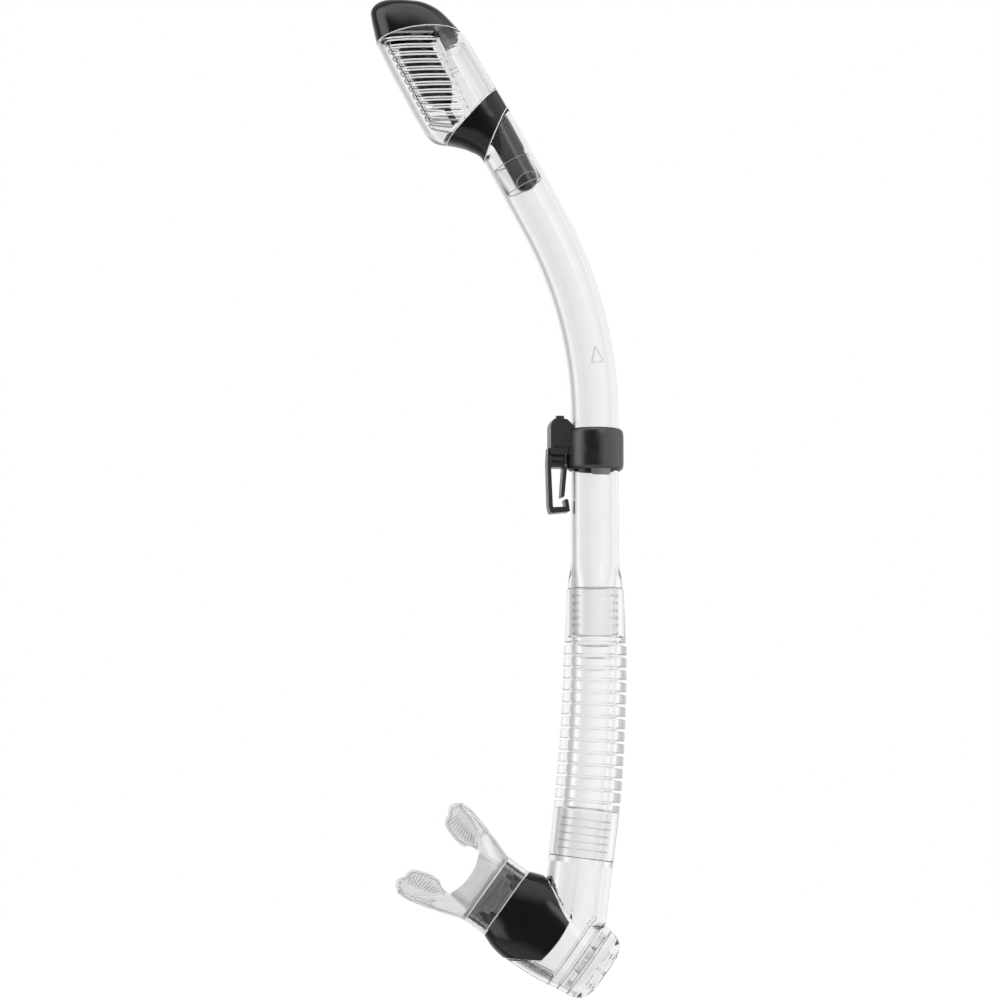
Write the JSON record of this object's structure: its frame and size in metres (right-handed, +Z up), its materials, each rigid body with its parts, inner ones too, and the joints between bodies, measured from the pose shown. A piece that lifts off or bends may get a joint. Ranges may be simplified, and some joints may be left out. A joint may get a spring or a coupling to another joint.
{
  "type": "dry-top snorkel",
  "caption": "Dry-top snorkel: tilted float-valve head, curved clear tube, mask-strap keeper, ribbed flexible hose, purge chamber and silicone mouthpiece.",
  "frame": {"origin": "on the tube's axis, just above the middle of the keeper ring that hangs the snorkel on a mask strap", "axes": "+Z up along the straight stretch of the tube, -X towards the wearer's mouth and back of the head, Y across"},
  "size_m": [0.1256, 0.0372, 0.4919],
  "materials": {
    "clear_plastic": "clear glossy polycarbonate",
    "clear_silicone": "clear satin silicone",
    "black_gloss": "polished black plastic",
    "black_satin": "satin black plastic",
    "smoke_plastic": "translucent smoke-grey plastic",
    "grey_rubber": "dark grey rubber",
    "steel": "bright stainless wire"
  },
  "bodies": {
    "tube_and_head": {"main_tube": "clear_plastic", "flex_hose": "clear_silicone", "top_cap": "black_gloss", "head_shell": "clear_plastic", "head_collar": "black_gloss", "air_duct": "clear_plastic", "duct_spigot": "smoke_plastic", "spigot_lip": "clear_plastic", "seal_seat": "clear_silicone", "rocker_pin": "steel", "float_guide": "grey_rubber"},
    "float": {"float": "grey_rubber"},
    "rocker": {"rocker_arm": "black_satin"},
    "seal": {"seal_plug": "grey_rubber"},
    "keeper_slider": {"keeper_liner": "grey_rubber"},
    "keeper": {"keeper_ring": "black_satin", "clip_housing": "black_satin", "button_spring": "steel"},
    "button": {"release_button": "black_satin"},
    "hook": {"strap_hook": "black_satin"},
    "gate": {"strap_gate": "black_satin"},
    "mouth_end": {"chamber_body": "clear_plastic", "cover_front": "black_gloss", "cover_back": "black_gloss", "mouth_spigot": "smoke_plastic", "mouthpiece": "clear_silicone", "purge_seat": "clear_plastic", "purge_cover": "clear_plastic"},
    "purge_valve": {"purge_disc": "clear_silicone"}
  },
  "joints": [
    {"name": "hose_bend", "type": "hinge", "parent": "tube_and_head", "child": "mouth_end", "pos_m": [-0.00152, 0, -0.13997], "axis": [0, 1, 0], "range_deg": [-20, 40], "stiffness_Nm_per_rad": 0.25, "springref_deg": 5.16, "deforming": ["flex_hose"]},
    {"name": "float_rise", "type": "slide", "parent": "tube_and_head", "child": "float", "axis": [-0.4726, 0, 0.8813], "range_m": [0, 0.0035]},
    {"name": "rocker_tilt", "type": "hinge", "parent": "tube_and_head", "child": "rocker", "pos_m": [-0.08163, 0, 0.20927], "axis": [0, 1, 0], "range_deg": [0, 20.1]},
    {"name": "seal_drop", "type": "slide", "parent": "tube_and_head", "child": "seal", "axis": [-0.4726, 0, 0.8813], "range_m": [-0.00316, 0]},
    {"name": "keeper_slide", "type": "slide", "parent": "tube_and_head", "child": "keeper_slider", "axis": [0, 0, 1], "range_m": [-0.016, 0.005]},
    {"name": "keeper_swivel", "type": "hinge", "parent": "keeper_slider", "child": "keeper", "pos_m": [0, 0, 0], "axis": [0, 0, 1], "continuous": true},
    {"name": "button_press", "type": "slide", "parent": "keeper", "child": "button", "axis": [0, 0, 1], "range_m": [-0.0015, 0], "stiffness_N_per_m": 400, "springref_m": 0.001, "deforming": ["button_spring"]},
    {"name": "hook_release", "type": "slide", "parent": "keeper", "child": "hook", "axis": [0, 0, 1], "range_m": [-0.012, 0]},
    {"name": "gate_open", "type": "hinge", "parent": "hook", "child": "gate", "pos_m": [-0.01545, -0.00217, -0.0102], "axis": [-0.1392, 0.9903, 0], "range_deg": [0, 13], "stiffness_Nm_per_rad": 0.02, "springref_deg": -5.73},
    {"name": "purge_lift", "type": "slide", "parent": "mouth_end", "child": "purge_valve", "axis": [0.8131, 0, -0.5821], "range_m": [0, 0.0015], "stiffness_N_per_m": 30, "springref_m": -0.0005}
  ],
  "couplings": [
    {"joint": "rocker_tilt", "follows": "float_rise", "rad_per_m": 100},
    {"joint": "seal_drop", "follows": "float_rise", "ratio": -0.9}
  ]
}
